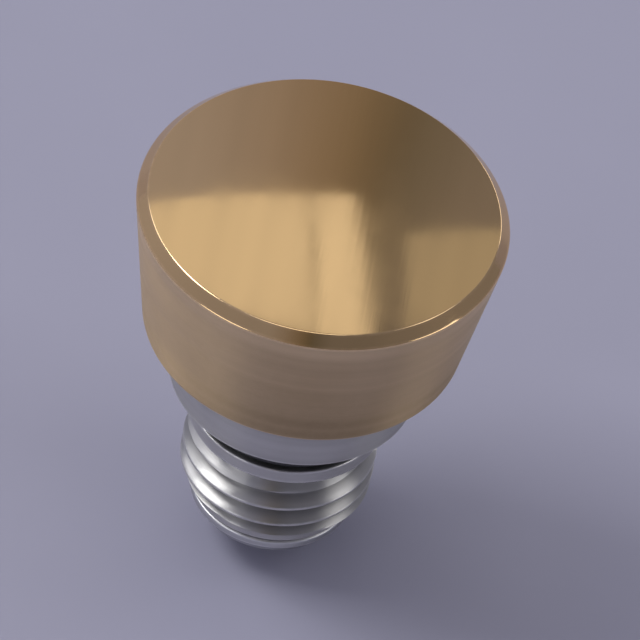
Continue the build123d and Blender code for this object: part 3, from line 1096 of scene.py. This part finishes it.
floor_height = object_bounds()[0].z / MM
floor_corners = (
    (FLOOR_RADIUS + FLOOR_RIM, floor_height + FLOOR_RIM, 0),
    (FLOOR_RADIUS, floor_height, FLOOR_CURVE),
    (0, floor_height, 0),
)
floor_skin = spin(rounded(floor_corners), closed=False)
floor = add_object("floor", smooth_mesh(floor_skin, "floor", floor_material()))
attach(floor, "spring_seat")
print(f"The floor lies at {floor_height:.2f} mm")

# %% [markdown]
# ## The camera
# The camera looks down on the head at the photograph's angle, about 46 degrees, and it is rolled a
# little so that the button leans to the right. A long lens from some way off keeps the ellipse of
# the face true, as in the photograph.

# %% Camera
CAMERA_ELEVATION = math.radians(45.6)
CAMERA_ROLL = math.radians(11.0)
LENS, FRAME_WIDTH = 500.0, 9.6
AIM = Vector((0.25, 0, 1.25)) * MM
camera_data = bpy.data.cameras.new("camera")
camera_data.lens = LENS
camera_data.clip_start = 0.01
to_camera = Vector((0, -math.cos(CAMERA_ELEVATION), math.sin(CAMERA_ELEVATION)))
distance = FRAME_WIDTH * MM * LENS / camera_data.sensor_width
camera = add_object("camera", camera_data)
camera.rotation_mode = "QUATERNION"
camera.location = AIM + to_camera * distance
level = (-to_camera).to_track_quat("-Z", "Y")
camera.rotation_quaternion = level @ Quaternion((0, 0, 1), CAMERA_ROLL)
bpy.context.scene.camera = camera
print(f"The camera stands {distance:.3f} m away")

# %% [markdown]
# ## What the polished face mirrors
# A mirror shows its surroundings, so the picture on the gold face is made by what stands round it.
# In the photograph a bright pane fills the face's near left part. It ends in a straight line across
# the middle, and a dim pane follows on the right after a dark gap. To put a panel where its
# reflection falls in the right place, the light's path is followed backwards: from the camera to a
# point on the dome, and from there along the mirrored direction. The corners below are places on
# the face as the camera sees it, in units of the face's half width, so a panel may reach past it.
# The bright pane has a fainter bar in it, as between two panes of a window.

# %% Panels behind the button
PANEL_DISTANCE = 0.45
PANEL_COLOUR = (1.0, 0.99, 0.97)


def mirrored(across, up):
    """The direction that the dome mirrors to the camera at a place on the face, as it sees it."""
    across, up = Matrix.Rotation(CAMERA_ROLL, 2) @ Vector((across, up))
    x, y = across * dome_edge, up * dome_edge / math.sin(CAMERA_ELEVATION)
    normal = Vector((x, y, math.sqrt(dome_radius**2 - x * x - y * y))).normalized()
    return 2 * normal.dot(to_camera) * normal - to_camera


def glow(name, colour, strength):
    """A plain glowing surface."""
    material, tree = new_material(name)[:2]
    tree.nodes.remove(tree.nodes["Principled BSDF"])
    light = add_node(tree, "ShaderNodeEmission", {"Color": (*colour, 1), "Strength": strength})
    tree.links.new(light.outputs[0], tree.nodes["Material Output"].inputs["Surface"])
    return material


def panel(name, strength, *corners):
    """A glowing panel whose reflection has these corners on the face."""
    places = [mirrored(*corner) * PANEL_DISTANCE for corner in corners]
    mesh = bpy.data.meshes.new(name)
    mesh.from_pydata(places, [], [range(len(corners))])
    mesh.materials.append(glow(name, PANEL_COLOUR, strength))
    add_object(name, mesh)
    print(f"{name}: strength {strength}")


left_low = ((-0.10, -0.74), (-0.60, -0.60), (-1.35, -0.22))
panel("left_pane", 0.76, (-1.35, 0.00), (-0.13, 0.00), *left_low)
panel("pane_bar", 0.52, (-0.13, 0.00), (-0.07, 0.00), (-0.04, -0.76), (-0.10, -0.74))
panel("middle_pane", 0.84, (-0.07, 0.00), (0.16, 0.00), (0.28, -0.85), (-0.04, -0.76))
panel("right_pane", 0.42, (0.46, -0.22), (1.35, -0.12), (1.35, -0.70), (0.47, -0.74))

# %% [markdown]
# ## The soft lamps
# The panels alone would leave the pusher dark. The key lamp stands high at the left and does most
# of the work. It is large for its distance, so shadows are soft, and it stands outside the part of
# the room that the face mirrors to the camera. The top lamp fills the face when it is seen from
# above, and two side lamps fill the shadows. The three low lamps are broad and mild. Turned metal
# draws each of them into a soft upright band of light, which is how an eye knows that it is turned.

# %% Lamps
LAMP_DISTANCE = 0.50


def soft_lamp(name, azimuth, elevation, size, radiance):
    """A square area lamp that faces the button. Azimuth 0 is behind it, and 90 to its right."""
    turn, rise = math.radians(azimuth), math.radians(elevation)
    flat = math.cos(rise)
    towards = Vector((math.sin(turn) * flat, math.cos(turn) * flat, math.sin(rise)))
    data = bpy.data.lights.new(name, "AREA")
    data.size = size
    data.energy = radiance * math.pi * size * size
    lamp = add_object(name, data)
    lamp.location = towards * LAMP_DISTANCE
    lamp.rotation_mode = "QUATERNION"
    lamp.rotation_quaternion = towards.to_track_quat("Z", "Y")
    print(f"{name}: {data.energy:.2f} W")


soft_lamp("key_lamp", -88, 52, 0.20, 6.9)
soft_lamp("top_lamp", 180, 86, 0.22, 1.2)
soft_lamp("left_lamp", -64, 38, 0.20, 1.5)
soft_lamp("right_lamp", 82, 52, 0.18, 1.2)
soft_lamp("low_left_lamp", -138, 13, 0.24, 1.5)
soft_lamp("low_right_lamp", 104, 10, 0.24, 1.5)
soft_lamp("low_back_lamp", 32, 9, 0.24, 1.4)

# %% [markdown]
# ## The room beyond
# Above the panes the face mirrors the room itself, and in the photograph that isn't one tone. From
# left to right it goes from the floor's lavender through a warm brown to a dark place, and then up
# again. A colour ramp over the direction's X does this, with a smooth blend between its stops. The
# room is also a little dimmer in front, so that the head's wall isn't brighter than its face.

# %% World
SKY = (
    (-0.25, (0.37, 0.38, 0.48)),
    (-0.10, (0.30, 0.28, 0.31)),
    (0.00, (0.24, 0.21, 0.19)),
    (0.07, (0.16, 0.145, 0.13)),
    (0.12, (0.14, 0.14, 0.14)),
    (0.25, (0.23, 0.23, 0.28)),
)
FRONT_DIMMING = (-0.7, 0.1, 0.75, 1.0)
world = bpy.data.worlds.new("studio")
bpy.context.scene.world = world
world.use_nodes = True
sky = world.node_tree
room = sky.nodes["Background"].inputs
direction = add_node(sky, "ShaderNodeTexCoord").outputs["Generated"]
parts = add_node(sky, "ShaderNodeSeparateXYZ", {0: direction}).outputs
sky_left, sky_right = SKY[0][0], SKY[-1][0]
across = rescale(sky, parts["X"], sky_left, sky_right)
ramp = add_node(sky, "ShaderNodeValToRGB", {"Fac": across})
stops = ramp.color_ramp.elements
ramp.color_ramp.interpolation = "B_SPLINE"
for place, colour in SKY[1:-1]:
    stops.new((place - sky_left) / (sky_right - sky_left)).color = (*colour, 1)
stops[0].color = (*SKY[0][1], 1)
stops[-1].color = (*SKY[-1][1], 1)
sky.links.new(ramp.outputs["Color"], room["Color"])
sky.links.new(rescale(sky, parts["Y"], *FRONT_DIMMING), room["Strength"])
bpy.context.scene.view_settings.view_transform = "Standard"
print("The room has", len(SKY), "tones")
